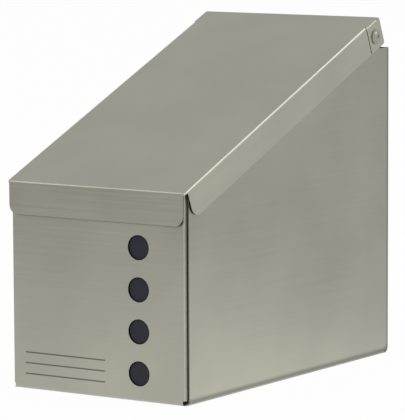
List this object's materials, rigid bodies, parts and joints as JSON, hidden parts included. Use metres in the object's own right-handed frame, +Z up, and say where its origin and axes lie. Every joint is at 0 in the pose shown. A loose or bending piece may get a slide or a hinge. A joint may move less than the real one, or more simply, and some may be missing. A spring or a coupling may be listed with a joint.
{
  "type": "lidded sheet-metal storage box",
  "caption": "Deep folded sheet-metal box with a sloping front-to-back lid that hinges at the rear on riveted brackets, and a column of round sight holes in its front.",
  "frame": {"origin": "centre of the base, on the surface that the box stands on", "axes": "+Z up, -Y out of the front wall with the sight holes, +X to the right seen from the front"},
  "size_m": [0.1764, 0.3127, 0.2886],
  "materials": {
    "sheet": "brushed",
    "fastener": "satin",
    "window": "smoked"
  },
  "bodies": {
    "box": {"front_and_floor": "sheet", "side_and_back_wrap": "sheet", "sight_window": "window", "rivet_left": "fastener", "rivet_right": "fastener", "rivet_stem_left": "fastener", "rivet_stem_right": "fastener", "outer_washer_left": "fastener", "outer_washer_right": "fastener", "inner_washer_left": "fastener", "inner_washer_right": "fastener"},
    "lid": {"lid": "sheet", "hinge_bracket_left": "sheet", "hinge_bracket_right": "sheet"}
  },
  "joints": [
    {"name": "lid_hinge", "type": "hinge", "parent": "box", "child": "lid", "pos_m": [0, 0.1305, 0.2725], "axis": [-1, 0, 0], "range_deg": [0, 120]}
  ]
}
